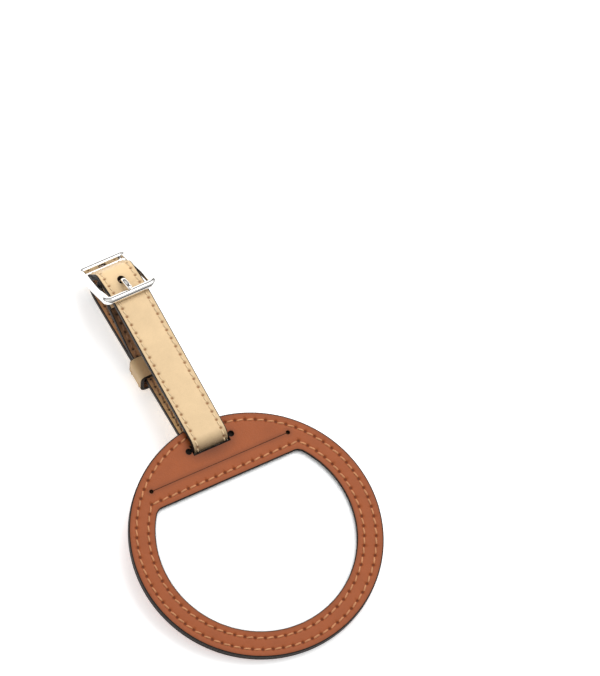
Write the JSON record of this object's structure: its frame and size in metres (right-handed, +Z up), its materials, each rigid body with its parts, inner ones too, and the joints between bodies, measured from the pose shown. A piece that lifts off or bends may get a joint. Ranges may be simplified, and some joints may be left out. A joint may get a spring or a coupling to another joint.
{
  "type": "luggage tag",
  "caption": "Round leather luggage tag with a D window over an ID card, hung on a buckled strap loop with a sliding keeper.",
  "frame": {"origin": "middle of the bounding box, on the surface the tag lies on", "axes": "+X across the strap to the right with the window up, +Y from the disc to the buckle, +Z up"},
  "size_m": [0.09, 0.165, 0.0249],
  "materials": {
    "brown_leather": "smooth grained leather, satin, edges painted near black",
    "tan_leather": "smooth vegetable-tanned leather, satin, edges painted near black",
    "suede_lining": "matt suede split",
    "leather_board": "bonded leather board, painted edge",
    "rust_thread": "waxed polyester thread",
    "sand_thread": "waxed polyester thread",
    "card_paper": "plain white card",
    "clear_film": "clear flexible film",
    "polished_metal": "mirror-polished nickel plating"
  },
  "bodies": {
    "tag": {"front_panel": "brown_leather", "back_panel": "brown_leather", "core_frame": "leather_board", "window_film": "clear_film", "rim_thread_front": "rust_thread", "rim_thread_back": "rust_thread", "window_thread": "rust_thread"},
    "card": {"id_card": "card_paper"},
    "strap": {"buckle_end_face": "tan_leather", "buckle_end_lining": "suede_lining", "buckle_end_thread_left": "sand_thread", "buckle_end_thread_right": "sand_thread", "slot_bend": "tan_leather", "tongue_face": "tan_leather", "tongue_lining": "suede_lining", "tongue_thread_left": "sand_thread", "tongue_thread_right": "sand_thread"},
    "keeper": {"keeper_loop": "tan_leather", "keeper_thread_lower": "sand_thread", "keeper_thread_upper": "sand_thread"},
    "buckle": {"buckle_frame": "polished_metal"},
    "prong": {"prong": "polished_metal"}
  },
  "joints": [
    {"name": "strap_swing", "type": "hinge", "parent": "tag", "child": "strap", "pos_m": [0, -0.0013, 0.01419], "axis": [1, 0, 0], "range_deg": [-90, 90], "deforming": ["slot_bend"]},
    {"name": "card_slide", "type": "slide", "parent": "tag", "child": "card", "axis": [0, 0.9884, 0.1521], "range_m": [0, 0.0032]},
    {"name": "keeper_slide", "type": "slide", "parent": "strap", "child": "keeper", "axis": [0, 0.9963, -0.0857], "range_m": [-0.008, 0.003]},
    {"name": "buckle_rock", "type": "hinge", "parent": "strap", "child": "buckle", "pos_m": [0, 0.06976, 0.01425], "axis": [-1, 0, 0], "range_deg": [0, 3]},
    {"name": "prong_lift", "type": "hinge", "parent": "buckle", "child": "prong", "pos_m": [0, 0.06976, 0.01425], "axis": [-1, 0, 0], "range_deg": [0, 4]}
  ]
}
